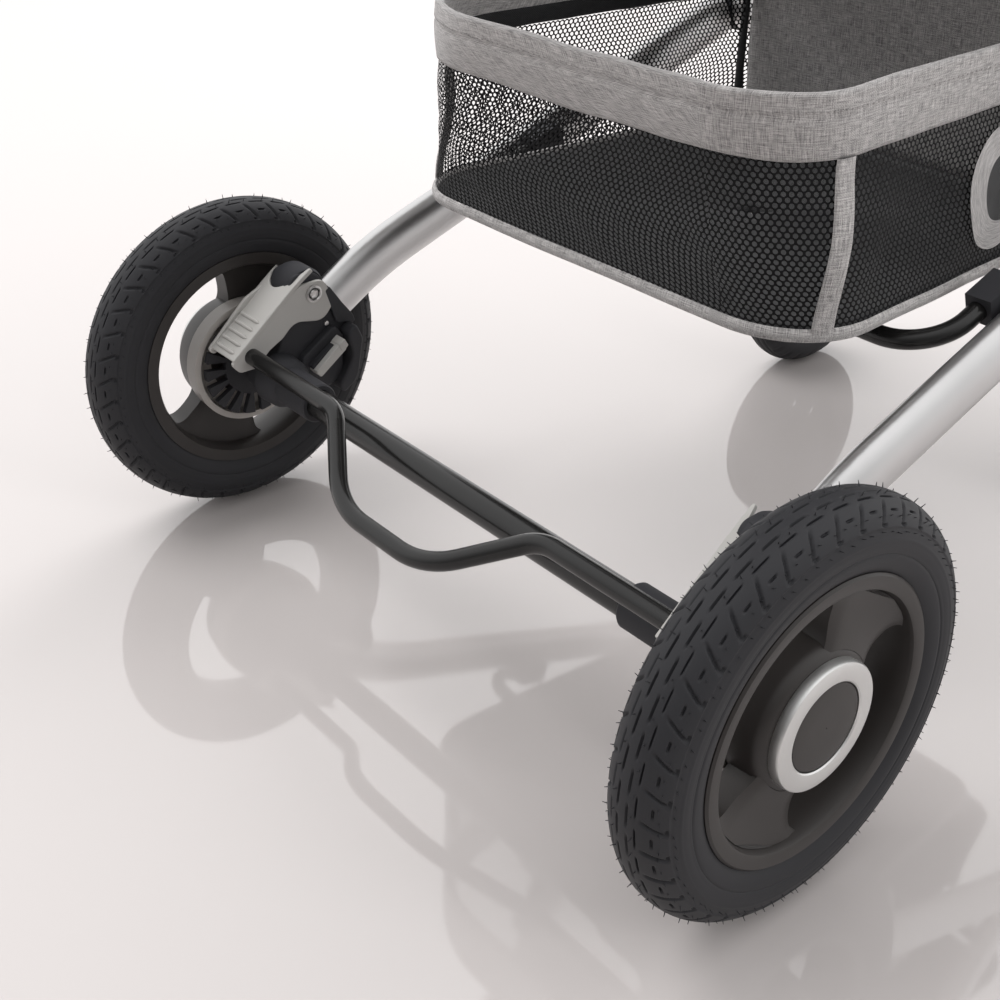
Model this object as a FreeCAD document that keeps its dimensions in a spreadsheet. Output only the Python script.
"""Four-wheel baby stroller: air-tyred rear wheels on a foot-braked axle, swivelling front wheels,
a mesh basket between oval side tubes, and a fold-forward handle frame that carries the seat.

Millimetres, +X to the right, +Y forward, +Z up. The origin is on the floor under the middle of
the stroller. Heights are above the floor. Lengths along Y are measured from the rear axle and
moved to the origin by each object's Placement.
"""
import FreeCAD, Part
import math
import os

import Sketcher

V = FreeCAD.Vector
X_AXIS, Y_AXIS, Z_AXIS = V(1, 0, 0), V(0, 1, 0), V(0, 0, 1)
SIDES = {"left": -1, "right": 1}

doc = FreeCAD.newDocument("Stroller")

# ---------------------------------------------------------------- driving dimensions

DIMENSIONS = [
    # rear wheels
    ("rear_radius", 127.5, "outer radius of a rear tyre"),
    ("rear_track_half", 287.8, "middle of a rear wheel from the stroller's middle plane"),
    ("rear_bead", 83.8, "bore of a rear tyre, radius"),
    ("rear_tyre_half", 22.6, "half the width of a rear tyre"),
    ("rear_lip", 87.8, "rim lip of a rear wheel, radius"),
    ("rear_rim_half", 18.9, "half the width of a rear rim"),
    ("rear_well", 78.0, "inside of the rear rim ring, radius"),
    ("drum_radius", 43.5, "hub drum at the spokes, radius"),
    ("drum_flare", 50.0, "hub drum at its inner end, radius"),
    ("drum_depth", 23.2, "inner end of the hub drum from the wheel's middle plane"),
    ("hub_front", 17.0, "outer face of the hub from the wheel's middle plane"),
    ("cap_radius", 38.9, "silver cap ring, outer radius"),
    ("cap_bore", 27.0, "silver cap ring, inner radius"),
    ("cap_height", 6.6, "thickness of the cap ring"),
    ("spoke_angle", 58.0, "width of each of the two spokes, degrees"),
    ("rotor_radius", 43.0, "toothed brake rotor, radius"),
    ("rotor_thick", 5.0, "thickness of the brake rotor"),
    ("rotor_teeth", 18.0, "teeth of the brake rotor"),
    # rear axle and brake
    ("axle_radius", 11.0, "rear axle tube, outer radius"),
    ("axle_half", 222.0, "half the length of the rear axle tube"),
    ("tube_wall", 1.6, "wall of the round tubes"),
    ("stub_radius", 6.0, "stub axle, radius"),
    ("collar_radius", 15.0, "axle collar of the block, radius"),
    ("collar_inner", 186.0, "inner end of the axle collar from the middle plane"),
    ("block_inner", 225.3, "inner face of the axle block from the middle plane"),
    ("block_width", 27.4, "width of the axle block"),
    ("lever_arm", 3.0, "thickness of a brake lever's side arms"),
    ("pivot_y", 34.0, "brake lever pivot ahead of the rear axle"),
    ("pivot_z", 190.0, "brake lever pivot above the floor"),
    ("pin_radius", 4.0, "brake lever pin, radius"),
    ("bar_radius", 6.5, "brake bar, radius"),
    ("bar_y", -23.0, "brake bar ahead of the rear axle"),
    ("bar_z", 153.0, "brake bar above the floor"),
    ("bar_drop", 54.0, "depth of the brake bar's foot loop"),
    ("bar_loop_half", 110.0, "half the mouth of the foot loop"),
    ("release_travel", 4.0, "pull of a wheel release tab"),
    # side tubes, fold joint and front legs
    ("side_x", 235.0, "side tube from the middle plane"),
    ("side_tall", 40.0, "height of the oval side tube"),
    ("side_wide", 24.0, "width of the oval side tube"),
    ("side_wall", 1.8, "wall of the oval tubes"),
    ("fold_y", 515.0, "fold joint ahead of the rear axle"),
    ("fold_z", 352.0, "fold joint above the floor"),
    ("fold_radius", 27.0, "fold joint housing, radius"),
    ("fold_pin", 6.0, "fold joint pin, radius"),
    ("leg_radius", 13.0, "front leg tube, radius"),
    # front wheels
    ("front_radius", 90.0, "outer radius of a front tyre"),
    ("front_x", 169.0, "front wheel from the middle plane"),
    ("wheelbase", 578.0, "front wheel centres ahead of the rear axle"),
    ("trail", 25.0, "swivel axis ahead of the front wheel's centre"),
    ("front_tyre_half", 21.0, "half the width of a front tyre"),
    ("front_bead", 58.0, "bore of a front tyre, radius"),
    ("head_radius", 19.0, "caster head, radius"),
    ("fork_arm", 6.0, "thickness of a caster fork's arms"),
    # basket
    ("basket_floor", 272.0, "bottom seam of the basket above the floor"),
    ("basket_seam", 380.0, "lower edge of the basket's band above the floor"),
    ("basket_top", 422.0, "top edge of the basket's band above the floor"),
    ("basket_half", 196.0, "half the width of the basket at its bottom seam"),
    ("basket_rear", 98.0, "rear of the basket's bottom seam ahead of the rear axle"),
    ("basket_front", 455.0, "front of the basket ahead of the rear axle"),
    ("hoop_radius", 6.5, "basket hoop tube, radius"),
    ("hoop_y", 197.0, "basket hoop ahead of the rear axle"),
    ("hoop_z", 250.0, "basket hoop above the floor"),
    # handle frame
    ("post_x", 211.5, "handle post from the middle plane"),
    ("post_tall", 36.0, "height of the oval handle post"),
    ("post_wide", 22.0, "width of the oval handle post"),
    ("hinge_y", 40.0, "handle hinge ahead of the rear axle"),
    ("hinge_z", 930.0, "handle hinge above the floor"),
    ("hinge_radius", 23.0, "handle hinge, radius"),
    ("handle_radius", 11.0, "handlebar tube, radius"),
    ("handle_y", -75.0, "handlebar ahead of the rear axle"),
    ("handle_z", 1035.0, "handlebar above the floor"),
    ("grip_radius", 16.0, "foam grip, radius"),
    # seat
    ("rail_x", 190.0, "seat rail from the middle plane"),
    ("rail_radius", 8.5, "seat rail tube, radius"),
    ("seat_rear_y", 256.0, "recline hinge ahead of the rear axle"),
    ("seat_rear_z", 506.0, "recline hinge above the floor"),
    ("seat_front_y", 560.0, "front seat rail ahead of the rear axle"),
    ("seat_front_z", 540.0, "front seat rail above the floor"),
    ("seat_half", 176.0, "half the width of the seat pad"),
    ("pad_thick", 38.0, "thickness of the seat pad"),
    ("back_half", 155.0, "half the width of the backrest"),
    ("back_length", 450.0, "backrest above the recline hinge"),
    ("back_lean", 23.5, "backrest lean behind the vertical, degrees"),
    ("foot_length", 130.0, "footrest below its hinge"),
    ("canopy_radius", 250.0, "canopy rib reach from its pivot"),
    ("canopy_half", 178.0, "half the width of the canopy"),
    ("canopy_skin", 3.0, "canopy fabric with its lining"),
    # fits
    ("running_gap", 0.05, "radial clearance of a pin or shaft in its bore"),
    ("seat_gap", 0.3, "gap between neighbours that move"),
]


class Dim:
    """A length that carries its number and the sheet expression it comes from."""

    def __init__(self, value, text):
        self.value = float(value)
        self.text = text

    def combine(self, other, sign, value):
        """The Dim that joins this one to another Dim or a number."""
        text = other.text if isinstance(other, Dim) else f"{float(other):g}"
        return Dim(value, f"({self.text} {sign} ({text}))")

    def __add__(self, other):
        return self.combine(other, "+", self.value + float(other))

    def __sub__(self, other):
        return self.combine(other, "-", self.value - float(other))

    def __mul__(self, other):
        return self.combine(other, "*", self.value * float(other))

    def __truediv__(self, other):
        return self.combine(other, "/", self.value / float(other))

    def __rsub__(self, other):
        return Dim(float(other) - self.value, f"({float(other):g} - {self.text})")

    def __neg__(self):
        return Dim(-self.value, f"(0 - {self.text})")

    def __float__(self):
        return self.value

    __radd__ = __add__
    __rmul__ = __mul__


class Sizes:
    """The driving dimensions as attributes, read back from the sheet."""

    def __init__(self, dimensions):
        sheet = doc.addObject("Spreadsheet::Sheet", "Sizes")
        for row, (name, value, meaning) in enumerate(dimensions, start=1):
            sheet.set(f"A{row}", name)
            sheet.set(f"B{row}", f"{value:g}")
            sheet.set(f"C{row}", meaning)
            sheet.setAlias(f"B{row}", name)
        doc.recompute()
        for name, _, _ in dimensions:
            setattr(self, name, Dim(float(sheet.get(name)), f"Sizes.{name}"))


S = Sizes(DIMENSIONS)
REAR_Y = (S.wheelbase + S.front_radius - S.rear_radius) / -2

# ---------------------------------------------------------------- building helpers


def bind(obj, prop, value):
    """Give a property a number, or the expression of a Dim."""
    if isinstance(value, Dim):
        obj.setExpression(prop, value.text)
    else:
        setattr(obj, prop, value)


def place(obj, x=0, y=0, z=0, rotation=None):
    """Place an object, with y measured from the rear axle."""
    y = REAR_Y + y
    obj.Placement = FreeCAD.Placement(V(float(x), float(y), float(z)), rotation or FreeCAD.Rotation())
    for axis, value in zip("xyz", (x, y, z)):
        if isinstance(value, Dim):
            obj.setExpression(f"Placement.Base.{axis}", value.text)
    return obj


def rod(name, radius, x0, x1, y, z):
    """A round bar along X from x0 to x1, whichever is lower."""
    low, high = (x0, x1) if float(x0) < float(x1) else (x1, x0)
    obj = doc.addObject("Part::Cylinder", name)
    bind(obj, "Radius", radius)
    bind(obj, "Height", high - low)
    return place(obj, low, y, z, FreeCAD.Rotation(Y_AXIS, 90))


def post(name, radius, x, y, z0, z1):
    """A round bar straight up from z0 to z1."""
    obj = doc.addObject("Part::Cylinder", name)
    bind(obj, "Radius", radius)
    bind(obj, "Height", z1 - z0)
    return place(obj, x, y, z0)


def block(name, size, x, y, z, tilt=0.0):
    """A box around the point (x, y, z), tilted about X by a number of degrees."""
    obj = doc.addObject("Part::Box", name)
    for prop, value in zip(("Length", "Width", "Height"), size):
        bind(obj, prop, value)
    half = [float(value) / 2 for value in size]
    turn = FreeCAD.Rotation(X_AXIS, tilt)
    corner = turn.multVec(V(-half[0], -half[1], -half[2]))
    return place(obj, x + corner.x, y + corner.y, z + corner.z, turn)


def cut(name, base, *tools):
    """One object less others."""
    tool = tools[0] if len(tools) == 1 else fuse(name + "_tools", *tools)
    obj = doc.addObject("Part::Cut", name)
    obj.Base, obj.Tool = base, tool
    return obj


def fuse(name, *shapes):
    """Several objects as one."""
    obj = doc.addObject("Part::MultiFuse", name)
    obj.Shapes = list(shapes)
    obj.Refine = True
    return obj


def shaped(name, shape):
    """An object whose shape is made here from the sheet's sizes."""
    obj = doc.addObject("Part::Feature", name)
    obj.Shape = shape
    return place(obj)


def body(name, x=0, y=0, z=0, rotation=None):
    """A PartDesign body."""
    return place(doc.addObject("PartDesign::Body", name), x, y, z, rotation)


def plane_of(owner, role):
    """One of a body's own origin planes."""
    return next(f for f in owner.Origin.OriginFeatures if f.Role == role)


def sketch(owner, role, offset=0):
    """A sketch on one of a body's origin planes, moved along the plane's normal."""
    drawing = owner.newObject("Sketcher::SketchObject", f"{owner.Name}_{role[:2]}")
    drawing.AttachmentSupport = (plane_of(owner, role), "")
    drawing.MapMode = "FlatFace"
    drawing.AttachmentOffset = FreeCAD.Placement(V(0, 0, float(offset)), FreeCAD.Rotation())
    if isinstance(offset, Dim):
        drawing.setExpression("AttachmentOffset.Base.z", offset.text)
    return drawing


def arc_through(start, end, radius):
    """The shorter arc from start to end, bulging to the right of the way."""
    chord = end - start
    reach = math.sqrt(max(radius * radius - chord.Length ** 2 / 4, 0.0))
    left = V(-chord.y, chord.x, 0).normalize()
    centre = (start + end) * 0.5 + left * reach
    return Part.Arc(start, centre - left * radius, end)


def outline(drawing, points):
    """Draw a closed outline of lines and arcs, each corner held by its two distances.

    A point is (x, y), or (x, y, radius) where an arc starts that bulges to the right.
    """
    corners = [V(float(p[0]), float(p[1]), 0) for p in points]
    first = drawing.GeometryCount
    for i, point in enumerate(points):
        start, end = corners[i], corners[(i + 1) % len(points)]
        if len(point) == 3:
            drawing.addGeometry(arc_through(start, end, float(point[2])), False)
        else:
            drawing.addGeometry(Part.LineSegment(start, end), False)
    for i, point in enumerate(points):
        here, after = first + i, first + (i + 1) % len(points)
        start_of_next = 2 if flipped(drawing, after, corners[(i + 1) % len(points)]) else 1
        end_of_here = 1 if flipped(drawing, here, corners[i]) else 2
        start_of_here = 3 - end_of_here
        drawing.addConstraint(Sketcher.Constraint("Coincident", here, end_of_here, after, start_of_next))
        for kind, value in (("DistanceX", point[0]), ("DistanceY", point[1])):
            hold(drawing, Sketcher.Constraint(kind, -1, 1, here, start_of_here, float(value)), value)
        if len(point) == 3:
            hold(drawing, Sketcher.Constraint("Radius", here, float(point[2])), point[2])


def flipped(drawing, index, start):
    """Whether a segment's stored first end isn't the one it was drawn from."""
    return drawing.getPoint(index, 1).distanceToPoint(start) > 1e-6


def hold(drawing, constraint, value):
    """Add a constraint, and bind it where its value comes from the sheet."""
    index = drawing.addConstraint(constraint)
    if isinstance(value, Dim):
        drawing.setExpression(f"Constraints[{index}]", value.text)


def pad(owner, role, points, start, length):
    """A body's pad of an outline on an origin plane, from start, along the plane's normal."""
    drawing = sketch(owner, role, start)
    outline(drawing, points)
    feature = owner.newObject("PartDesign::Pad", f"{owner.Name}_pad")
    feature.Profile = drawing
    bind(feature, "Length", length)
    drawing.Visibility = False
    return feature


def revolve(owner, points):
    """A body turned about its own X axis from an outline of (along the axis, radius)."""
    drawing = sketch(owner, "XY_Plane")
    outline(drawing, points)
    feature = owner.newObject("PartDesign::Revolution", f"{owner.Name}_turned")
    feature.Profile = drawing
    feature.ReferenceAxis = (drawing, ["H_Axis"])
    feature.Angle = 360.0
    return feature


def repeat_about_x(owner, feature, count):
    """Repeat a body's feature evenly about the body's X axis."""
    pattern = owner.newObject("PartDesign::PolarPattern", f"{feature.Name}_round")
    pattern.Originals = [feature]
    pattern.Axis = (plane_axis(owner), [""])
    pattern.Angle = 360.0
    bind(pattern, "Occurrences", count)
    owner.Tip = pattern
    return pattern


def plane_axis(owner):
    """A body's own X axis."""
    return next(f for f in owner.Origin.OriginFeatures if f.Role == "X_Axis")


def path(points, radii):
    """A wire of straight runs joined by tangent arcs, one radius for each inner point."""
    points = [V(*(float(c) for c in p)) for p in points]
    edges, start = [], points[0]
    for before, corner, after, radius in zip(points, points[1:], points[2:], radii):
        back, ahead = (before - corner).normalize(), (after - corner).normalize()
        half = back.getAngle(ahead) / 2
        reach = radius / math.tan(half)
        middle = (back + ahead).normalize() * (radius / math.sin(half) - radius)
        first, last = corner + back * reach, corner + ahead * reach
        edges.append(Part.LineSegment(start, first).toShape())
        edges.append(Part.Arc(first, corner + middle, last).toShape())
        start = last
    edges.append(Part.LineSegment(start, points[-1]).toShape())
    return Part.Wire(edges)


def swept(wire, half_wide, half_tall, across=X_AXIS):
    """A solid bar along a wire, round, or oval with half_wide along the direction across."""
    start = wire.OrderedVertexes[0].Point
    along = wire.OrderedEdges[0].tangentAt(wire.OrderedEdges[0].FirstParameter)
    if abs(float(half_wide) - float(half_tall)) < 1e-9:
        section = Part.Circle(start, along, float(half_wide)).toShape()
    else:
        tall = along.cross(across).normalize()
        section = Part.Ellipse(start + tall * float(half_tall), start + across * float(half_wide), start)
        section = section.toShape()
    return wire.makePipeShell([Part.Wire([section])], True, False)


def tube(wire, half_wide, half_tall, wall, across=X_AXIS):
    """A hollow bar along a wire."""
    outer = swept(wire, half_wide, half_tall, across)
    inner = swept(wire, float(half_wide) - float(wall), float(half_tall) - float(wall), across)
    return outer.cut(inner)


def turned_bar(radius, x0, x1, y, z):
    """A plain round bar along X as a shape."""
    low, high = sorted((float(x0), float(x1)))
    return Part.makeCylinder(float(radius), high - low, V(low, float(y), float(z)), X_AXIS)


def rounded_plan(half_rear, half_front, rear, front, height, corner_rear, corner_front):
    """A level closed wire of straight sides and rounded corners, symmetrical about X = 0."""
    corners = [(half_rear, rear, corner_rear), (half_front, front, corner_front),
               (-half_front, front, corner_front), (-half_rear, rear, corner_rear)]
    points = [(0, rear, height)] + [(x, y, height) for x, y, _ in corners] + [(0, rear, height)]
    return path(points, [float(r) for _, _, r in corners])


# ---------------------------------------------------------------- rear axle and wheels

BORE = S.stub_radius + S.running_gap
WHEEL_OUT = S.rear_track_half
ROUNDNESS = 1.15
CROWN_SHARE = 0.62


def make_rear_axle():
    """The round tube between the two axle blocks."""
    outer = rod("rear_axle_outer", S.axle_radius, -S.axle_half, S.axle_half, 0, S.rear_radius)
    inner = rod("rear_axle_inner", S.axle_radius - S.tube_wall, -S.axle_half, S.axle_half, 0, S.rear_radius)
    return {"rear_axle": cut("rear_axle", outer, inner)}


def side_rod(name, side, radius, near, far, y, z):
    """A round bar along X on one side, from near to far of the middle plane."""
    return rod(name, radius, near * side, far * side, y, z)


BLOCK_OUTLINE = [(-14, 118), (2, 108), (30, 102), (54, 100), (70, 112), (78, 136), (70, 158), (52, 188),
                 (14, 196), (11, 178), (6, 166), (1, 148), (-13, 135)]
TUBE_END = (60.0, 176.0)
TUBE_ANGLE = 32.0


def make_axle_block(side_name, side):
    """The plastic block that holds the side tube, the axle tube and the stub axle."""
    name = f"axle_block_{side_name}"
    plate = body(name + "_plate")
    start = S.block_inner if side > 0 else -(S.block_inner + S.block_width)
    pad(plate, "YZ_Plane", BLOCK_OUTLINE, start, S.block_width)
    outer_face = S.block_inner + S.block_width
    dome = side_rod(name + "_dome", side, 17, S.block_inner, outer_face, 30, 191)
    collar = side_rod(name + "_collar", side, S.collar_radius, S.collar_inner, S.block_inner + 1, 0, S.rear_radius)
    direction = V(0, math.cos(math.radians(TUBE_ANGLE)), math.sin(math.radians(TUBE_ANGLE)))
    root = V(side * float(S.side_x), *TUBE_END)
    run = Part.Wire([Part.LineSegment(root - direction * 14, root + direction * 15).toShape()])
    fit = float(S.side_wall) + float(S.running_gap) * 2
    plug = shaped(name + "_plug", swept(run, float(S.side_wide) / 2 - fit, float(S.side_tall) / 2 - fit))
    solid = fuse(name + "_solid", plate, dome, collar, plug)
    axle_seat = side_rod(name + "_axle_seat", side, S.axle_radius + S.running_gap,
                         S.collar_inner - 1, S.axle_half + S.seat_gap, 0, S.rear_radius)
    stub_seat = side_rod(name + "_stub_seat", side, BORE, S.collar_inner - 1, outer_face + 1, 0, S.rear_radius)
    pin_seat = side_rod(name + "_pin_seat", side, S.pin_radius + S.running_gap,
                        S.block_inner - 1, outer_face + 1, S.pivot_y, S.pivot_z)
    stem_seat = side_rod(name + "_stem_seat", side, RELEASE_STEM + S.running_gap,
                         S.block_inner - 1, S.block_inner + RELEASE_DEPTH + 1, *RELEASE_PLACE)
    return {name: cut(name, solid, axle_seat, stub_seat, pin_seat, stem_seat)}


RELEASE_STEM = 4.0
RELEASE_DEPTH = 16.0
RELEASE_PLACE = (39.0, 137.0)
RELEASE_TAB = (17.0, 30.0, 8.0)


def make_wheel_release(side_name, side):
    """The tab that is pulled inwards to free a rear wheel."""
    name = f"wheel_release_{side_name}"
    face = S.block_inner - S.seat_gap
    middle = (face - RELEASE_TAB[0] / 2) * side
    tab = block(name + "_tab", RELEASE_TAB, middle, *RELEASE_PLACE, tilt=36)
    stem = side_rod(name + "_stem", side, RELEASE_STEM, face - 1, S.block_inner + RELEASE_DEPTH, *RELEASE_PLACE)
    return {name: fuse(name, tab, stem)}


def make_stub_axle(side_name, side):
    """The steel stub on which a rear wheel runs."""
    name = f"stub_axle_{side_name}"
    return {name: side_rod(name, side, S.stub_radius, S.collar_inner + 14, WHEEL_OUT + S.hub_front - 0.8,
                           0, S.rear_radius)}


def wheel_body(name, side, x, y, z):
    """A body that turns about X, its outer face away from the stroller's middle."""
    turn = FreeCAD.Rotation(Z_AXIS, 0 if side > 0 else 180)
    return body(name, x * side, y, z, turn)


def tyre_points(outer, bead, half, lip, lip_half):
    """Half-hollow tyre section: beads against the rim lips, round sidewalls and a crowned tread."""
    crown = half * CROWN_SHARE
    shoulder = outer - half * (ROUNDNESS - math.sqrt(ROUNDNESS ** 2 - CROWN_SHARE ** 2))
    wall = 5.0
    return [(-lip_half, bead), (-lip_half, lip + 0.6), (-(half - 2.5), lip + 4, half * ROUNDNESS),
            (-crown, shoulder, half * ROUNDNESS), (crown, shoulder, half * ROUNDNESS),
            (half - 2.5, lip + 4), (lip_half, lip + 0.6), (lip_half, bead), (lip_half - wall, bead),
            (half - 7.5, lip + 6), (crown - 2.5, shoulder - wall), (2.5 - crown, shoulder - wall),
            (7.5 - half, lip + 6), (wall - lip_half, bead)]


def make_rear_tyre(side_name, side):
    """An air tyre, open to its rim like the real casing."""
    name = f"rear_tyre_{side_name}"
    owner = wheel_body(name, side, WHEEL_OUT, 0, S.rear_radius)
    points = tyre_points(S.rear_radius, S.rear_bead, S.rear_tyre_half, S.rear_lip, S.rear_rim_half - 3.7)
    revolve(owner, mirrored_way(points))
    return {name: owner}


def mirrored_way(points):
    """The same outline walked the other way, for arcs that bulge outwards."""
    ordered = []
    for i in range(len(points) - 1, -1, -1):
        before = points[i - 1] if i else points[-1]
        ordered.append((points[i][0], points[i][1]) + tuple(before[2:3]))
    return ordered


def make_rear_rim(side_name, side):
    """A cast rim with a hub drum, two wide spokes and two long windows between them."""
    name = f"rear_rim_{side_name}"
    owner = wheel_body(name, side, WHEEL_OUT, 0, S.rear_radius)
    lip, half, seat = S.rear_lip, S.rear_rim_half, S.rear_bead - S.seat_gap
    points = [(-S.drum_depth, BORE), (-S.drum_depth, S.drum_flare), (-8, S.drum_radius + 2),
              (-8, S.rear_well), (3 - half, S.rear_well), (-half, S.rear_well + 2), (-half, lip),
              (3.4 - half, lip), (3.4 - half, seat), (half - 3.4, seat), (half - 3.4, lip), (half, lip),
              (half, S.rear_well + 2), (half - 3, S.rear_well), (12, S.rear_well), (12, S.drum_radius),
              (S.hub_front, S.drum_radius - 1.5), (S.hub_front, BORE)]
    revolve(owner, points)
    doc.recompute()
    window = owner.newObject("Sketcher::SketchObject", name + "_window")
    window.AttachmentSupport = (plane_of(owner, "YZ_Plane"), "")
    window.MapMode = "FlatFace"
    draw_window(window, S.drum_radius + 2.5, S.rear_well - 1.5, 180 - S.spoke_angle)
    hole = owner.newObject("PartDesign::Pocket", name + "_opening")
    hole.Profile = window
    hole.Type = "Length"
    hole.Midplane = True
    bind(hole, "Length", half * 2 + 10)
    doc.recompute()
    repeat_about_x(owner, hole, 2)
    return {name: owner}


def draw_window(drawing, inner, outer, span):
    """A ring sector between two radii, centred on the sketch's first axis turned by 25 degrees."""
    turn = 25.0
    low, high = math.radians(turn - float(span) / 2), math.radians(turn + float(span) / 2)
    rays = [V(math.cos(a), math.sin(a), 0) for a in (low, high)]
    for radius in (float(inner), float(outer)):
        circle = Part.Circle(V(0, 0, 0), Z_AXIS, radius)
        drawing.addGeometry(Part.ArcOfCircle(circle, low, high), False)
    for ray in rays:
        drawing.addGeometry(Part.LineSegment(ray * float(inner), ray * float(outer)), False)
    link = Sketcher.Constraint
    for radius_arc, end in ((0, 1), (1, 2)):
        for ray_line, arc_end in ((2, 1), (3, 2)):
            drawing.addConstraint(link("Coincident", ray_line, end, radius_arc, arc_end))
        drawing.addConstraint(link("Coincident", radius_arc, 3, -1, 1))
    hold(drawing, link("Radius", 0, float(inner)), inner)
    hold(drawing, link("Radius", 1, float(outer)), outer)
    for ray_line, sign in ((2, -1), (3, 1)):
        angle = math.radians(turn + sign * float(span) / 2)
        drawing.addConstraint(link("Angle", ray_line, angle))


def make_rear_cap(side_name, side):
    """The silver ring and the dark disc that close the hub."""
    ring_name, disc_name = f"cap_ring_{side_name}", f"cap_disc_{side_name}"
    face = WHEEL_OUT + S.hub_front
    top = face + S.cap_height
    outer = side_rod(ring_name + "_outer", side, S.cap_radius, face, top, 0, S.rear_radius)
    inner = side_rod(ring_name + "_inner", side, S.cap_bore, face - 1, top + 1, 0, S.rear_radius)
    disc = side_rod(disc_name, side, S.cap_bore - S.running_gap * 2, face, top - 1, 0, S.rear_radius)
    return {ring_name: cut(ring_name, outer, inner), disc_name: disc}


def make_brake_rotor(side_name, side):
    """The toothed disc that the brake lever's pin locks into."""
    name = f"brake_rotor_{side_name}"
    owner = wheel_body(name, side, WHEEL_OUT - S.drum_depth - S.seat_gap - S.rotor_thick, 0, S.rear_radius)
    teeth = owner.newObject("Sketcher::SketchObject", name + "_disc")
    teeth.AttachmentSupport = (plane_of(owner, "YZ_Plane"), "")
    teeth.MapMode = "FlatFace"
    for radius in (S.rotor_radius, BORE):
        index = teeth.addGeometry(Part.Circle(V(0, 0, 0), Z_AXIS, float(radius)), False)
        teeth.addConstraint(Sketcher.Constraint("Coincident", index, 3, -1, 1))
        hold(teeth, Sketcher.Constraint("Radius", index, float(radius)), radius)
    disc = owner.newObject("PartDesign::Pad", name + "_pad")
    disc.Profile = teeth
    bind(disc, "Length", S.rotor_thick)
    doc.recompute()
    slot = sketch(owner, "YZ_Plane")
    outline(slot, [(-3, S.rotor_radius - 17), (3, S.rotor_radius - 17), (3, S.rotor_radius + 1),
                   (-3, S.rotor_radius + 1)])
    notch = owner.newObject("PartDesign::Pocket", name + "_slot")
    notch.Profile = slot
    notch.Midplane = True
    bind(notch, "Length", S.rotor_thick * 3)
    doc.recompute()
    repeat_about_x(owner, notch, S.rotor_teeth)
    return {name: owner}


# ---------------------------------------------------------------- foot brake

ARM_OUTLINE = [(53, 177), (46, 198), (27, 202), (-7, 184), (-42, 152), (-35, 143), (-22, 142), (-9, 151),
               (4, 159), (11, 167), (24, 168), (41, 167)]
PAD_OUTLINE = [(6, 191), (-42, 152), (-39.3, 148.8), (8.5, 187.6)]
RIB_COUNT = 5
RIB_STEP = 7.6


def make_brake_lever(side_name, side):
    """A forked lever with a ribbed foot pad; its arms straddle the axle block."""
    name = f"brake_lever_{side_name}"
    near = S.block_inner - S.seat_gap - S.lever_arm
    far = S.block_inner + S.block_width + S.seat_gap
    pieces = []
    for label, inner, width, points in (("inner_arm", near, S.lever_arm, ARM_OUTLINE),
                                        ("outer_arm", far, S.lever_arm, ARM_OUTLINE),
                                        ("pad", near, far - near + S.lever_arm, PAD_OUTLINE)):
        piece = body(f"{name}_{label}")
        pad(piece, "YZ_Plane", points, inner if side > 0 else -(inner + width), width)
        pieces.append(piece)
    slope = math.degrees(math.atan2(PAD_OUTLINE[0][1] - PAD_OUTLINE[1][1], PAD_OUTLINE[0][0] - PAD_OUTLINE[1][0]))
    along = V(0, math.cos(math.radians(slope)), math.sin(math.radians(slope)))
    middle = (near + far + S.lever_arm) / 2 * side
    for number in range(RIB_COUNT):
        spot = V(0, *PAD_OUTLINE[1]) + along * (7 + RIB_STEP * number)
        pieces.append(block(f"{name}_rib_{number}", (26, 3.2, 2.6), middle, spot.y, spot.z, tilt=slope))
    solid = fuse(name + "_solid", *pieces)
    pin_hole = side_rod(name + "_pin_hole", side, S.pin_radius + S.running_gap, near - 1, far + 5,
                        S.pivot_y, S.pivot_z)
    bar_hole = side_rod(name + "_bar_hole", side, S.bar_radius + S.running_gap, near - 1,
                        near + S.lever_arm + 1, S.bar_y, S.bar_z)
    return {name: cut(name, solid, pin_hole, bar_hole)}


def make_brake_pins():
    """The two riveted pins on which the brake levers turn."""
    pieces = []
    near = S.block_inner - S.seat_gap - S.lever_arm
    far = S.block_inner + S.block_width + S.seat_gap + S.lever_arm
    for side_name, side in SIDES.items():
        name = f"brake_pin_{side_name}"
        shank = side_rod(name + "_shank", side, S.pin_radius, near - 1, far + 1, S.pivot_y, S.pivot_z)
        heads = [side_rod(f"{name}_head_{n}", side, S.pin_radius + 3, low, low + 1.2, S.pivot_y, S.pivot_z)
                 for n, low in enumerate((near - 1.4, far + 0.2))]
        pieces.append(fuse(name, shank, *heads))
    return {"brake_pins": fuse("brake_pins", *pieces)}


def make_brake_bar():
    """The round bar that joins the levers, with a foot loop that dips to the rear."""
    end = float(S.block_inner + S.block_width) - 1
    mouth, drop = float(S.bar_loop_half), float(S.bar_drop)
    back, down = drop * math.cos(math.radians(40)), drop * math.sin(math.radians(40))
    y, z = float(S.bar_y), float(S.bar_z)
    points = [(-end, y, z), (-mouth, y, z), (-mouth * 0.42, y - back, z - down),
              (mouth * 0.42, y - back, z - down), (mouth, y, z), (end, y, z)]
    return {"brake_bar": shaped("brake_bar", swept(path(points, [34, 70, 70, 34]), S.bar_radius, S.bar_radius))}


# ---------------------------------------------------------------- side tubes, hoop and fold joint


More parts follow.
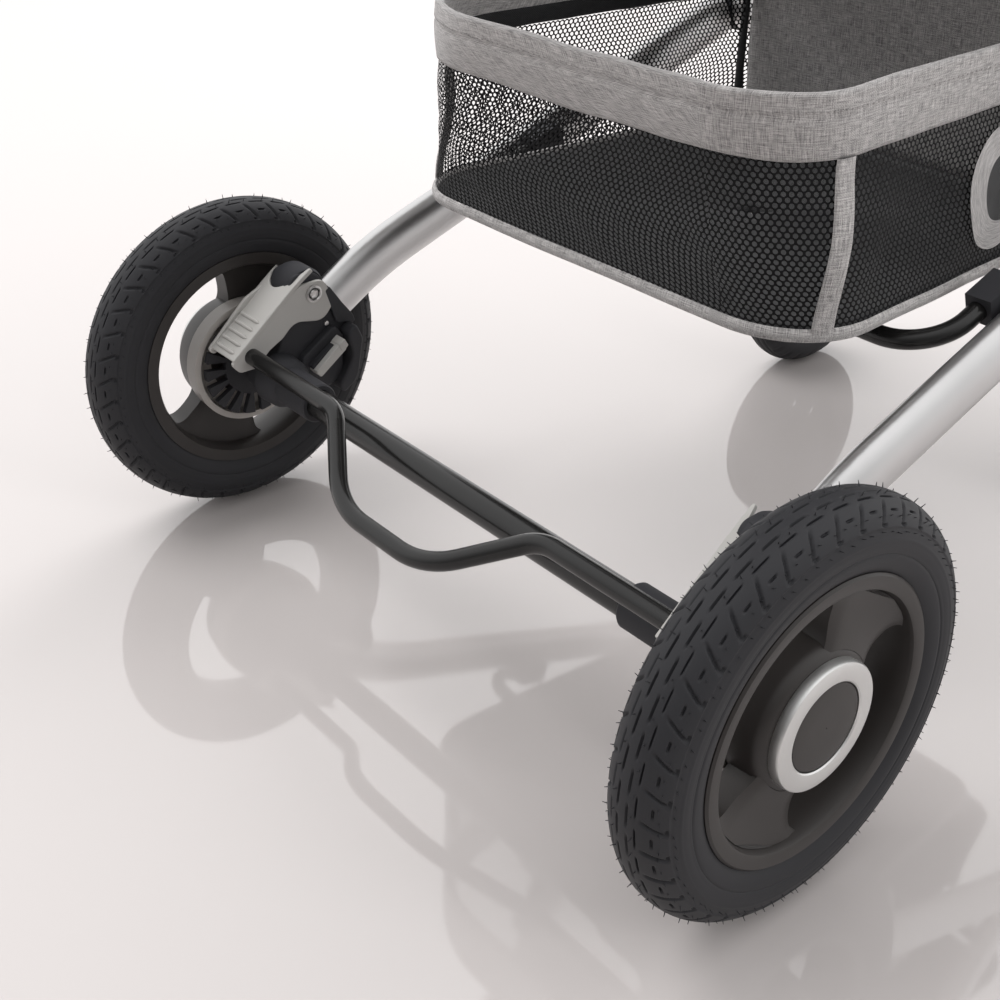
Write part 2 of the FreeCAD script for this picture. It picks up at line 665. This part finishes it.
def make_side_tube(side_name, side):
    """The oval aluminium tube from the axle block up to the fold joint, bent near its rear end."""
    name = f"side_tube_{side_name}"
    x = side * float(S.side_x)
    rise = math.radians(20)
    joint = V(x, float(S.fold_y), float(S.fold_z))
    forward = V(0, math.cos(rise), math.sin(rise))
    start = V(x, *TUBE_END)
    turn = math.radians(TUBE_ANGLE)
    run = V(0, math.cos(turn), math.sin(turn))
    gap = joint - start
    corner = start + run * ((gap.y * forward.z - gap.z * forward.y) / (run.y * forward.z - run.z * forward.y))
    end = joint - forward * (float(S.fold_radius) + 1)
    bend = 0.68 * start.distanceToPoint(corner) / math.tan((turn - rise) / 2)
    wire = path([start, corner, end], [bend])
    return {name: shaped(name, tube(wire, S.side_wide / 2, S.side_tall / 2, S.side_wall))}


def leg_points(side):
    """The front leg's route from the fold joint to the top of the caster head."""
    x, y, z = side * float(S.side_x), float(S.fold_y), float(S.fold_z)
    lower = (side * float(S.front_x), float(S.wheelbase + S.trail))
    return [V(x, y, z), V(x, y + 58, z - 24), V(*lower, HEAD_TOP + 48), V(*lower, HEAD_TOP)]


HEAD_TOP = 262.0
HEAD_FOOT = 199.0


def make_fold_socket(side_name, side):
    """The housing in which the side tube, the front leg and the fold pin meet."""
    name = f"fold_socket_{side_name}"
    x = side * float(S.side_x)
    joint = V(x, float(S.fold_y), float(S.fold_z))
    rise = math.radians(20)
    back = V(0, -math.cos(rise), -math.sin(rise))
    leg = leg_points(side)
    down = (leg[1] - leg[0]).normalize()
    fit = float(S.side_wall) + float(S.running_gap) * 2
    reach = float(S.fold_radius)
    tube_plug = Part.Wire([Part.LineSegment(joint + back * 8, joint + back * (reach + 34)).toShape()])
    leg_plug = Part.Wire([Part.LineSegment(joint + down * 8, joint + down * (reach + 11)).toShape()])
    near = S.side_x - S.side_wide / 2 + S.seat_gap
    housing = side_rod(name + "_housing", side, S.fold_radius, near, S.side_x + S.side_wide / 2 + 2,
                       S.fold_y, S.fold_z)
    pin = side_rod(name + "_pin", side, S.fold_pin, S.post_x - S.post_wide / 2, near + 2, S.fold_y, S.fold_z)
    plugs = [shaped(name + "_tube_plug", swept(tube_plug, float(S.side_wide) / 2 - fit,
                                               float(S.side_tall) / 2 - fit)),
             shaped(name + "_leg_plug", swept(leg_plug, float(S.leg_radius) - float(S.tube_wall) - 0.1,
                                              float(S.leg_radius) - float(S.tube_wall) - 0.1))]
    return {name: fuse(name, housing, pin, *plugs)}


def make_front_leg(side_name, side):
    """The round tube from the fold joint down and inwards to the caster head."""
    name = f"front_leg_{side_name}"
    points = leg_points(side)
    points[0] = points[0] + (points[1] - points[0]).normalize() * (float(S.fold_radius) + 1)
    wire = path(points, [36, 32])
    return {name: shaped(name, tube(wire, S.leg_radius, S.leg_radius, S.tube_wall))}


HOOP_RISE = 20.0
HOOP_REACH = 74.0
HOOP_X = 213.0
CLAMP = (18.6, 30.0, 20.0)


def make_basket_hoop():
    """The bent tube under the basket, its arms clamped to the side tubes."""
    rise = math.radians(HOOP_RISE)
    y, z = float(S.hoop_y), float(S.hoop_z)
    tip = (y + HOOP_REACH * math.cos(rise), z + HOOP_REACH * math.sin(rise))
    points = [(-HOOP_X, *tip), (-HOOP_X, y, z), (HOOP_X, y, z), (HOOP_X, *tip)]
    hoop = shaped("basket_hoop", swept(path(points, [38, 38]), S.hoop_radius, S.hoop_radius, Y_AXIS))
    spot = (y + (HOOP_REACH - 10) * math.cos(rise), z + (HOOP_REACH - 10) * math.sin(rise))
    clamps = []
    for side_name, side in SIDES.items():
        name = f"hoop_clamp_{side_name}"
        shell = block(name + "_block", CLAMP, side * HOOP_X + side * 0.5, *spot, tilt=HOOP_RISE)
        bore = doc.addObject("Part::Cylinder", name + "_bore")
        bind(bore, "Radius", S.hoop_radius + S.running_gap)
        bore.Height = 26
        start = V(side * HOOP_X, spot[0] - 16 * math.cos(rise), spot[1] - 16 * math.sin(rise))
        place(bore, start.x, start.y, start.z, FreeCAD.Rotation(X_AXIS, HOOP_RISE - 90))
        clamps.append(cut(name, shell, bore))
    return {"basket_hoop": hoop, "hoop_clamps": fuse("hoop_clamps", *clamps)}


# ---------------------------------------------------------------- basket

BASKET_CORNERS = (60.0, 26.0)
BASKET_WALL = 3.0
BAND_WALL = 6.0


def plan_at(level, inset=0.0):
    """The basket's plan at one of its three levels, inset from the outside."""
    half, rear, front = float(S.basket_half), float(S.basket_rear), float(S.basket_front)
    height = {"floor": S.basket_floor, "seam": S.basket_seam, "top": S.basket_top}[level]
    wider = {"floor": 0.0, "seam": -6.0, "top": 2.0}[level]
    farther_back = {"floor": 0.0, "seam": -24.0, "top": -40.0}[level]
    narrow = 24.0
    return rounded_plan(half + wider - inset, half + wider - narrow - inset, rear + farther_back + inset,
                        front - inset, float(height), BASKET_CORNERS[0] - inset, BASKET_CORNERS[1] - inset)


def shell_between(lower, upper, wall):
    """The walls between two levels of the basket."""
    outer = Part.makeLoft([plan_at(lower), plan_at(upper)], True, True)
    inner = Part.makeLoft([plan_at(lower, wall), plan_at(upper, wall)], True, True)
    return outer.cut(inner)


def make_basket():
    """Mesh walls, a stiff base that sags onto the hoop, and the folded band round the top."""
    floor, rear, front = float(S.basket_floor), float(S.basket_rear), float(S.basket_front)
    half, bottom = float(S.basket_half), float(S.hoop_z + S.hoop_radius + S.seat_gap)
    low = rounded_plan(half - 26, half - 44, rear + 18, front - 16, bottom, 44, 16)
    high = plan_at("floor")
    return {"basket_walls": shaped("basket_walls", shell_between("floor", "seam", BASKET_WALL)),
            "basket_band": shaped("basket_band", shell_between("seam", "top", BAND_WALL)),
            "basket_base": shaped("basket_base", Part.makeLoft([low, high], True, True)),
            }


# ---------------------------------------------------------------- front casters


def make_caster(side_name, side):
    """The caster head, its swivel lock, the fork with its stem and bolt, and the front wheel."""
    x, swivel = S.front_x * side, S.wheelbase + S.trail
    head, fork, lock = f"caster_head_{side_name}", f"caster_fork_{side_name}", f"caster_lock_{side_name}"
    barrel = post(head + "_barrel", S.head_radius, x, swivel, HEAD_FOOT, Dim(HEAD_TOP, f"{HEAD_TOP:g}"))
    guide = block(head + "_guide", (20, 20, 34), x, swivel + S.head_radius + 5, HEAD_FOOT + 23)
    stem_seat = post(head + "_stem_seat", S.stub_radius + S.running_gap, x, swivel, HEAD_FOOT - 1,
                     Dim(HEAD_TOP - 10, f"{HEAD_TOP - 10:g}"))
    slot = block(head + "_slot", (12.6, 7.6, 40), x, swivel + S.head_radius + 8, HEAD_FOOT + 23)
    head_obj = cut(head, fuse(head + "_solid", barrel, guide), stem_seat, slot)
    lock_obj = fuse(lock, block(lock + "_blade", (12, 7, 40), x, swivel + S.head_radius + 8, HEAD_FOOT + 29),
                    block(lock + "_thumb", (16, 14, 5), x, swivel + S.head_radius + 11, HEAD_FOOT + 49.5))
    crown_top = HEAD_FOOT - 4
    arm_reach = S.front_tyre_half + 3.5
    crown_wide = (arm_reach + S.fork_arm) * 2
    crown = block(fork + "_crown", (crown_wide, 62, 10), x, swivel - 13, crown_top - 5)
    stem = post(fork + "_stem", S.stub_radius, x, swivel, crown_top - 2, Dim(HEAD_TOP - 12, f"{HEAD_TOP - 12:g}"))
    hub_y, hub_z = S.wheelbase, S.front_radius
    bolt = rod(fork + "_bolt", 4, x - arm_reach - S.fork_arm - 2, x + arm_reach + S.fork_arm + 2, hub_y, hub_z)
    arms = []
    for label, way in (("in", -1), ("out", 1)):
        arm = body(f"{fork}_arm_{label}")
        start = x + arm_reach if way > 0 else x - arm_reach - S.fork_arm
        top = Dim(crown_top - 1, f"{crown_top - 1:g}")
        pad(arm, "YZ_Plane", [(hub_y - 12, hub_z - 4), (hub_y - 6, hub_z - 12), (hub_y + 6, hub_z - 12),
                              (hub_y + 12, hub_z - 4), (swivel + 15, top), (swivel - 42, top)],
            start, S.fork_arm)
        arms.append(arm)
    fork_obj = fuse(fork, crown, stem, bolt, *arms)
    return {head: head_obj, lock: lock_obj, fork: fork_obj}


def make_front_wheel(side_name, side):
    """The smaller tyre and the rim with round windows."""
    tyre, rim = f"front_tyre_{side_name}", f"front_rim_{side_name}"
    owner = wheel_body(tyre, side, S.front_x, S.wheelbase, S.front_radius)
    lip = S.front_bead + 3.5
    lip_half = S.front_tyre_half - 7
    revolve(owner, mirrored_way(tyre_points(S.front_radius, S.front_bead, S.front_tyre_half, lip, lip_half)))
    hub = wheel_body(rim, side, S.front_x, S.wheelbase, S.front_radius)
    seat, bore = S.front_bead - S.seat_gap, Dim(4, "4") + S.running_gap
    half = S.front_tyre_half - 3.5
    revolve(hub, [(-20, bore), (-20, 15), (-5, 19), (-5, seat - 6), (3 - half, seat - 5), (-half, lip - 4),
                  (-half, lip), (3.2 - half, lip), (3.2 - half, seat), (half - 3.2, seat), (half - 3.2, lip),
                  (half, lip), (half, lip - 4), (half - 3, seat - 5), (5, seat - 6), (5, 19), (20, 15),
                  (20, bore)])
    doc.recompute()
    window = hub.newObject("Sketcher::SketchObject", rim + "_window")
    window.AttachmentSupport = (plane_of(hub, "YZ_Plane"), "")
    window.MapMode = "FlatFace"
    index = window.addGeometry(Part.Circle(V(0, 35, 0), Z_AXIS, 9), False)
    window.addConstraint(Sketcher.Constraint("Radius", index, 9))
    window.addConstraint(Sketcher.Constraint("DistanceX", -1, 1, index, 3, 0))
    hold(window, Sketcher.Constraint("DistanceY", -1, 1, index, 3, 35), seat * 0.6)
    hole = hub.newObject("PartDesign::Pocket", rim + "_hole")
    hole.Profile = window
    hole.Midplane = True
    bind(hole, "Length", half * 2)
    doc.recompute()
    repeat_about_x(hub, hole, 6)
    return {tyre: owner, rim: hub}


# ---------------------------------------------------------------- handle frame

POST_REACH = V(0, float(S.hinge_y - S.fold_y), float(S.hinge_z - S.fold_z))


def make_frame_post(side_name, side):
    """The oval post from the fold joint up to the handle hinge, with half of that hinge."""
    name = f"frame_post_{side_name}"
    x = side * float(S.post_x)
    foot = V(x, float(S.fold_y), float(S.fold_z))
    along = V(POST_REACH.x, POST_REACH.y, POST_REACH.z).normalize()
    wire = Part.Wire([Part.LineSegment(foot + along * 14, foot + POST_REACH - along * 20).toShape()])
    stem = shaped(name + "_tube", swept(wire, S.post_wide / 2, S.post_tall / 2))
    near, far = S.post_x - S.post_wide / 2, S.post_x + S.post_wide / 2
    eye = side_rod(name + "_eye", side, S.fold_radius - 1, near, far, S.fold_y, S.fold_z)
    middle = S.post_x + S.seat_gap
    cheek = side_rod(name + "_cheek", side, S.hinge_radius, middle, far, S.hinge_y, S.hinge_z)
    pin = side_rod(name + "_pin", side, 5, near + 1, middle + 1, S.hinge_y, S.hinge_z)
    room = side_rod(name + "_room", side, S.hinge_radius + 4, near - 1, middle, S.hinge_y, S.hinge_z)
    bore = side_rod(name + "_bore", side, S.fold_pin + S.running_gap, near - 1, far + 1, S.fold_y, S.fold_z)
    trimmed = cut(name + "_trimmed", stem, room)
    return {name: cut(name, fuse(name + "_solid", trimmed, eye, cheek, pin), bore)}


def make_handle():
    """The handlebar with its hinge halves and trigger housing, the foam grip and the fold trigger."""
    near, far = float(S.post_x - S.post_wide / 2), float(S.post_x)
    arm_x = near + float(S.handle_radius) * 0.5
    y, z = float(S.handle_y), float(S.handle_z)
    hinge = (float(S.hinge_y), float(S.hinge_z))
    lean = V(0, y - hinge[0], z - hinge[1]).normalize() * 34
    start = (hinge[0] + lean.y, hinge[1] + lean.z)
    points = [(-arm_x, *start), (-arm_x, y, z), (arm_x, y, z), (arm_x, *start)]
    bar = shaped("handlebar_tube", swept(path(points, [58, 58]), S.handle_radius, S.handle_radius))
    pieces = [bar, block("handlebar_housing", (52, 34, 34), 0, S.handle_y, S.handle_z)]
    bores = []
    for side_name, side in SIDES.items():
        name = f"handlebar_{side_name}"
        pieces.append(side_rod(name + "_cheek", side, S.hinge_radius, S.post_x - S.post_wide / 2, S.post_x,
                               S.hinge_y, S.hinge_z))
        tilt = math.degrees(math.atan2(lean.z, lean.y))
        centre = V(0, hinge[0] + lean.y * 0.75, hinge[1] + lean.z * 0.75)
        pieces.append(block(name + "_neck", (far - near, 30, 20), side * (near + far) / 2, centre.y, centre.z,
                            tilt=tilt))
        bores.append(side_rod(name + "_bore", side, 5 + float(S.running_gap), S.post_x - S.post_wide / 2 - 1,
                              S.post_x + 1, S.hinge_y, S.hinge_z))
    guides = [post(f"handlebar_guide_{n}", 3 + float(S.running_gap), way * 14, S.handle_y, S.handle_z - 18,
                   S.handle_z - 1) for n, way in enumerate((-1, 1))]
    handlebar = cut("handlebar", fuse("handlebar_solid", *pieces), *bores, *guides)
    grips = []
    for n, way in enumerate((-1, 1)):
        ends = (way * 27, way * 138)
        foam = rod(f"grip_{n}_foam", S.grip_radius, min(ends), Dim(max(ends), f"{max(ends):g}"), S.handle_y,
                   S.handle_z)
        core = rod(f"grip_{n}_core", S.handle_radius + S.running_gap, min(ends) - 1,
                   Dim(max(ends) + 1, f"{max(ends) + 1:g}"), S.handle_y, S.handle_z)
        grips.append(cut(f"grip_{n}", foam, core))
    plate_z = S.handle_z - 17 - 6 - 5
    stems = [post(f"trigger_stem_{n}", 3, way * 14, S.handle_y, plate_z, S.handle_z - 8)
             for n, way in enumerate((-1, 1))]
    trigger = fuse("fold_trigger", block("trigger_plate", (44, 16, 10), 0, S.handle_y, plate_z), *stems)
    return {"handlebar": handlebar, "handle_grip": fuse("handle_grip", *grips), "fold_trigger": trigger}


# ---------------------------------------------------------------- seat

HUB_PLACE = (378.0, 519.6)
ARM_PLACE = (404.0, 640.0)
BUMPER_REACH = (560.0, 690.0)
PIN = 5.0
BOARD = 5.0


def make_seat_frame():
    """The U-shaped rail with its adaptor hubs, recline pins and bumper posts."""
    x = float(S.rail_x)
    rear, front = (float(S.seat_rear_y), float(S.seat_rear_z)), (float(S.seat_front_y), float(S.seat_front_z))
    points = [(-x, *rear), (-x, *front), (x, *front), (x, *rear)]
    pieces = [shaped("seat_rail", swept(path(points, [46, 46]), S.rail_radius, S.rail_radius))]
    edge = S.post_x - S.post_wide / 2 - S.seat_gap
    for side_name, side in SIDES.items():
        name = f"seat_{side_name}"
        arm = Part.Wire([Part.LineSegment(V(side * x, *HUB_PLACE), V(side * x, *ARM_PLACE)).toShape()])
        pieces += [side_rod(name + "_hub", side, 26, S.rail_x - 8, edge, *HUB_PLACE),
                   side_rod(name + "_recline", side, 18, S.rail_x - S.rail_radius + 0.4, S.rail_x + 8, S.seat_rear_y,
                            S.seat_rear_z),
                   side_rod(name + "_pin", side, PIN, S.rail_x - 18, S.rail_x, S.seat_rear_y, S.seat_rear_z),
                   shaped(name + "_arm", swept(arm, 8.2, 8.2)),
                   side_rod(name + "_arm_cheek", side, 15, S.rail_x + S.seat_gap, S.rail_x + 9, *ARM_PLACE)]
    slope = rail_slope()
    run = math.hypot(front[0] - rear[0], front[1] - rear[1])
    lift = float(S.rail_radius) - BOARD / 2 - 0.4
    middle = (rear[0] + math.cos(slope) * (run + 18) / 2 - math.sin(slope) * lift,
              rear[1] + math.sin(slope) * (run + 18) / 2 + math.cos(slope) * lift)
    pieces.append(block("seat_board", (S.rail_x * 2 - 8, run - 50, BOARD), 0, *middle, tilt=math.degrees(slope)))
    solid = fuse("seat_frame_solid", *pieces)
    solid.Refine = False
    rooms = [side_rod(f"seat_arm_room_{side_name}", side, 19, S.rail_x - 12, S.rail_x + S.seat_gap, *ARM_PLACE)
             for side_name, side in SIDES.items()]
    trimmed = cut("seat_frame_trimmed", solid, *rooms)
    pins = [side_rod(f"seat_arm_pin_{side_name}", side, PIN, S.rail_x - 8, S.rail_x + 1, *ARM_PLACE)
            for side_name, side in SIDES.items()]
    return {"seat_frame": fuse("seat_frame", trimmed, *pins)}


def rail_slope():
    """The seat's slope along Y."""
    return math.atan2(float(S.seat_front_z - S.seat_rear_z), float(S.seat_front_y - S.seat_rear_y))


def padded_slab(half, low, high, thick, origin, direction, corner=30.0):
    """A pad with rounded corners: from low to high along a direction from an origin, thick to its left."""
    along = V(0, math.cos(direction), math.sin(direction))
    normal = V(0, -along.z, along.y)
    base = V(0, *origin)
    first, last = base + along * low, base + along * high
    corners = [V(half, first.y, first.z), V(half, last.y, last.z), V(-half, last.y, last.z),
               V(-half, first.y, first.z)]
    middle = V(0, first.y, first.z)
    wire = path([middle] + corners + [middle], [corner] * 4)
    slab = Part.Face(wire).extrude(normal * thick)
    rim = [e for e in slab.Edges if all(abs((v.Point - base).dot(normal) - thick) < 0.01 for v in e.Vertexes)]
    return slab.makeFillet(min(9.0, thick * 0.3), rim)


def make_seat_pads():
    """The seat pad, the backrest with its hinge lugs, and the footrest round the front rail."""
    half, thick = float(S.seat_half), float(S.pad_thick)
    slope = rail_slope()
    rear = (float(S.seat_rear_y), float(S.seat_rear_z))
    lift = float(S.rail_radius + S.seat_gap)
    base = (rear[0] - math.sin(slope) * lift, rear[1] + math.cos(slope) * lift)
    length = math.hypot(float(S.seat_front_y) - rear[0], float(S.seat_front_z) - rear[1])
    seat = shaped("seat_pad", padded_slab(half, 34, length - 15, thick, base, slope))
    lean = math.radians(90 + float(S.back_lean))
    backrest = shaped("backrest_slab", padded_slab(float(S.back_half), 26, float(S.back_length), 34, rear, lean, 45))
    lugs = []
    for side_name, side in SIDES.items():
        name = f"backrest_lug_{side_name}"
        far = float(S.rail_x - S.rail_radius - S.seat_gap)
        eye = turned_bar(15, side * (far - 10), side * far, *rear)
        lug_end = V(0, *rear) + V(0, math.cos(lean), math.sin(lean)) * 60
        strap = Part.makeBox(10, 24, 62, V(-5, -12, 0))
        strap.rotate(V(0, 0, 0), X_AXIS, float(S.back_lean))
        strap.translate(V(side * (far - 5), rear[0], rear[1]))
        bridge = Part.makeBox(far - float(S.back_half) + 8, 20, 20, V(0, -10, -10))
        bridge.rotate(V(0, 0, 0), X_AXIS, float(S.back_lean))
        start = side * far if side < 0 else float(S.back_half) - 8
        bridge.translate(V(start, lug_end.y - 10, lug_end.z - 10))
        lugs.append(shaped(name, eye.fuse([strap, bridge])))
        lugs.append(canopy_mount(side_name, side, lean))
    bores = [shaped(f"backrest_bore_{side_name}", turned_bar(PIN + float(S.running_gap), side * 150,
                                                             side * float(S.rail_x), *rear))
             for side_name, side in SIDES.items()]
    back = cut("backrest", fuse("backrest_solid", backrest, *lugs), *bores)
    front = (float(S.seat_front_y), float(S.seat_front_z))
    hang = math.radians(-65)
    panel = padded_slab(118, 4, float(S.foot_length), 14, front, hang, 22)
    sleeve = turned_bar(float(S.rail_radius) + 4, -118, 118, *front)
    rail_hole = turned_bar(float(S.rail_radius + S.running_gap), -119, 119, *front)
    foot = shaped("footrest", panel.fuse(sleeve).cut(rail_hole))
    return {"seat_pad": seat, "backrest": back, "footrest": foot}


def canopy_mount(side_name, side, lean):
    """The bracket, pin and cap on the backrest's side that carry the canopy."""
    y, z = canopy_pivot()
    plate = Part.makeBox(7.5, 44, 24, V(0, -34, -12))
    plate.rotate(V(0, 0, 0), X_AXIS, math.degrees(lean) - 90)
    plate.translate(V(149 if side > 0 else -156.5, y, z))
    half = float(S.canopy_half)
    pin = turned_bar(CANOPY_PIN, side * 150, side * (half + 4), y, z)
    cap = turned_bar(22, side * (half + 0.4), side * (half + 4), y, z)
    return shaped(f"canopy_mount_{side_name}", plate.fuse([pin, cap]))


def make_bumper_bar():
    """The padded bar in front of the child, turning on the seat's two arm pins."""
    x = float(S.rail_x) - 9.7
    points = [(-x, ARM_PLACE[0] + 9, ARM_PLACE[1] + 4), (-x, *BUMPER_REACH), (x, *BUMPER_REACH),
              (x, ARM_PLACE[0] + 9, ARM_PLACE[1] + 4)]
    bar = shaped("bumper_tube", swept(path(points, [80, 80]), 9, 9))
    cheeks = [side_rod(f"bumper_cheek_{side_name}", side, 15, S.rail_x - 9, S.rail_x, *ARM_PLACE)
              for side_name, side in SIDES.items()]
    bores = [side_rod(f"bumper_bore_{side_name}", side, PIN + float(S.running_gap), S.rail_x - 30, S.rail_x + 1,
                      *ARM_PLACE) for side_name, side in SIDES.items()]
    return {"bumper_bar": cut("bumper_bar", fuse("bumper_solid", bar, *cheeks), *bores)}


def make_harness():
    """The shoulder straps on the backrest, and the buckle with its button on the seat."""
    lean = math.radians(90 + float(S.back_lean))
    rear = (float(S.seat_rear_y), float(S.seat_rear_z))
    along = V(0, math.cos(lean), math.sin(lean))
    face = V(0, math.sin(lean), -math.cos(lean))
    straps = []
    for way in (-1, 1):
        strap = Part.makeBox(36, 3, 260, V(-18, 0, 0))
        strap.rotate(V(0, 0, 0), X_AXIS, float(S.back_lean))
        spot = V(way * 55, *rear) + along * 90 + face * float(S.seat_gap)
        strap.translate(spot)
        straps.append(strap)
    slope = rail_slope()
    top = float(S.rail_radius + S.seat_gap + S.pad_thick)
    spot = (430.0, rear[1] + (430.0 - rear[0]) * math.tan(slope) + top / math.cos(slope) + 7.0)
    case = block("buckle_case", (46, 44, 13), 0, *spot, tilt=math.degrees(slope))
    well_top = Dim(spot[1] + 20, f"{spot[1] + 20:g}")
    well = post("buckle_well", 8.0 + float(S.seat_gap), 0, spot[0], spot[1] - 0.5, well_top)
    button = post("buckle_button", 8.0, 0, spot[0], spot[1] + 3.2, Dim(spot[1] + 8.6, f"{spot[1] + 8.6:g}"))
    return {"harness_straps": shaped("harness_straps", Part.makeCompound(straps)),
            "buckle": cut("buckle", case, well), "buckle_button": button}


# ---------------------------------------------------------------- canopy

CANOPY_PIVOT_UP = 300.0
RIB_ANGLES = {"rear": 140.0, "mid": 98.0, "front": 54.0}
REAR_PANEL_END = 172.0
RIB_RADIUS = 4.0
CANOPY_PIN = 3.0
PANEL_START = 18.0
CANOPY_CORNER = 85.0


def canopy_pivot():
    """The canopy's pivot on the sides of the backrest, as (y, z)."""
    lean = math.radians(90 + float(S.back_lean))
    return (float(S.seat_rear_y) + CANOPY_PIVOT_UP * math.cos(lean) + 26,
            float(S.seat_rear_z) + CANOPY_PIVOT_UP * math.sin(lean))


def rib_wire(angle, half, reach, inner_reach=0.0):
    """The U-shaped line of a rib, standing from the pivot axis at an angle above +Y."""
    way = V(0, math.cos(math.radians(angle)), math.sin(math.radians(angle)))
    centre = V(0, *canopy_pivot())
    side = V(half, 0, 0)
    points = [centre - side + way * inner_reach, centre - side + way * reach,
              centre + side + way * reach, centre + side + way * inner_reach]
    return path(points, [CANOPY_CORNER, CANOPY_CORNER])


def canopy_panel(start, end, half, reach):
    """A fabric section swept about the pivot axis from one angle to another."""
    skin = float(S.canopy_skin)
    outer = rib_wire(start, half, reach, PANEL_START)
    inner = rib_wire(start, half - skin, reach - skin, PANEL_START)
    centre = V(0, *canopy_pivot())
    ends = [Part.LineSegment(outer.OrderedVertexes[i].Point, inner.OrderedVertexes[i].Point).toShape()
            for i in (0, -1)]
    face = Part.Face(Part.Wire(Part.__sortEdges__(outer.Edges + inner.Edges + ends)))
    return face.revolve(centre, X_AXIS, end - start)


def make_canopy():
    """Two moving ribs and three fabric sections."""
    half, reach = float(S.canopy_half), float(S.canopy_radius)
    ribs = {}
    for offset, which in enumerate(("mid", "front")):
        name = f"canopy_rib_{which}"
        inset = 4.5 + float(S.canopy_skin)
        x = half - inset - 9 * offset
        rib = swept(rib_wire(RIB_ANGLES[which], x, reach - inset), RIB_RADIUS, RIB_RADIUS, Y_AXIS)
        eyes = [turned_bar(8, side * (x - 4), side * (x + 4), *canopy_pivot()) for side in SIDES.values()]
        bore = turned_bar(CANOPY_PIN + float(S.running_gap), -half, half, *canopy_pivot())
        ribs[name] = shaped(name, rib.fuse(eyes).cut(bore))
    seam, cover = 0.5, 1.5
    sections = {"canopy_rear": (RIB_ANGLES["rear"] + seam, REAR_PANEL_END),
                "canopy_top": (RIB_ANGLES["mid"] - cover + seam, RIB_ANGLES["rear"] - seam),
                "canopy_front": (RIB_ANGLES["front"] - cover, RIB_ANGLES["mid"] - cover - seam)}
    panels = {name: shaped(name, canopy_panel(start, end, half, reach))
              for name, (start, end) in sections.items()}
    return {**ribs, **panels}


# ---------------------------------------------------------------- the whole stroller


def make_all():
    """Every sub-part by its node's name."""
    parts = {}
    for maker in (make_rear_axle, make_brake_pins, make_brake_bar, make_basket_hoop, make_basket, make_handle,
                  make_seat_frame, make_seat_pads, make_bumper_bar, make_harness, make_canopy):
        parts.update(maker())
    for side_name, side in SIDES.items():
        for maker in (make_axle_block, make_wheel_release, make_stub_axle, make_rear_tyre, make_rear_rim,
                      make_rear_cap, make_brake_rotor, make_brake_lever, make_side_tube, make_fold_socket,
                      make_front_leg, make_caster, make_front_wheel, make_frame_post):
            parts.update(maker(side_name, side))
    return parts


def check(parts):
    """Stop if an object failed, or a sub-part's shape is missing or invalid."""
    faults = [f"{o.Name}: {o.State}" for o in doc.Objects if "Invalid" in o.State or "Error" in o.State]
    for name, obj in parts.items():
        if obj.Shape.isNull() or not obj.Shape.isValid() or not obj.Shape.Solids:
            faults.append(f"{name}: no valid solid")
    if faults:
        raise RuntimeError("; ".join(faults))


def main():
    """Build the document and write each sub-part."""
    parts = make_all()
    doc.recompute()
    check(parts)
    os.makedirs("parts", exist_ok=True)
    for name, obj in parts.items():
        obj.Label = name
        obj.Shape.exportStep(f"parts/{name}.step")
        print(f"{name}: {len(obj.Shape.Solids)} solids, {obj.Shape.Volume / 1000:.1f} cm3")


main()
